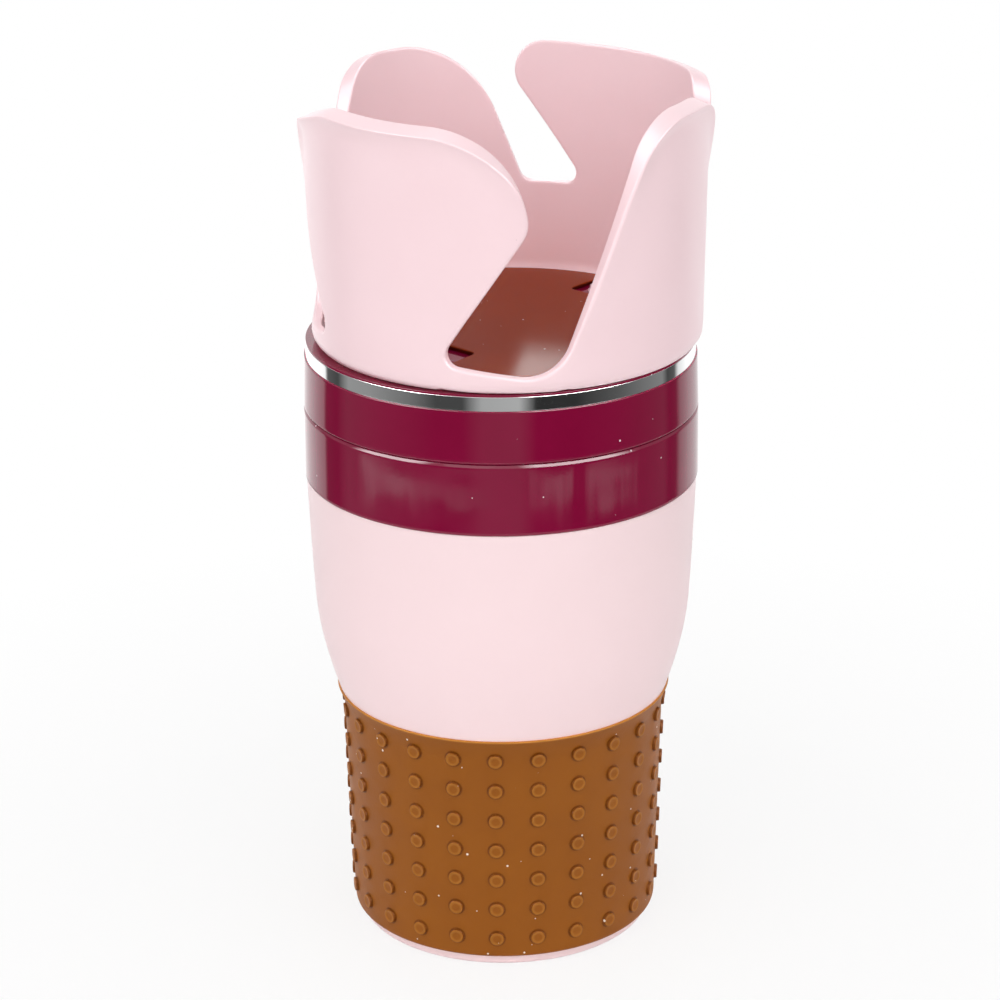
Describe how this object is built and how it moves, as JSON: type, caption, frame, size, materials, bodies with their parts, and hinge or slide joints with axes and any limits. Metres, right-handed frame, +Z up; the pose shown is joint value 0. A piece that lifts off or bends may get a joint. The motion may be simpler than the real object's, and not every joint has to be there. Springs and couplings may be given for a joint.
{
  "type": "car cup holder",
  "caption": "Stacking car cup holder: a sleeved lower cup that plugs into a car well, a turning collar and a petal-shaped upper cup that swings aside.",
  "frame": {"origin": "middle of the foot's underside, on the axis of the lower cup", "axes": "+Z up along the axis of the lower cup, +Y from the axis towards the swing pivot at rest, +X to the side that the petal cup stands out to at rest"},
  "size_m": [0.0919, 0.0911, 0.1972],
  "materials": {
    "pink_shell": "satin moulded",
    "sleeve_rubber": "matte",
    "magenta_shell": "high gloss",
    "bright_trim": "plated",
    "hidden_plastic": "plain moulded",
    "screw_steel": "zinc plated",
    "mat_rubber": "matte",
    "nut_brass": "plain"
  },
  "bodies": {
    "base": {"lower_body": "pink_shell", "grip_sleeve": "sleeve_rubber", "lower_band": "magenta_shell"},
    "collar": {"turn_collar": "magenta_shell", "trim_ring": "bright_trim", "collar_retainer": "hidden_plastic", "retainer_screws": "screw_steel", "pivot_screw": "screw_steel", "pivot_washer": "screw_steel", "pivot_spring_washer": "screw_steel", "pivot_nut": "nut_brass"},
    "cup": {"swing_cup": "pink_shell", "cup_mat": "mat_rubber"}
  },
  "joints": [
    {"name": "collar_turn", "type": "hinge", "parent": "base", "child": "collar", "pos_m": [0, 0, 0.1246], "axis": [0, 0, 1], "continuous": true},
    {"name": "cup_swing", "type": "hinge", "parent": "collar", "child": "cup", "pos_m": [0, 0.0336, 0.14], "axis": [0, 0, 1], "continuous": true}
  ]
}
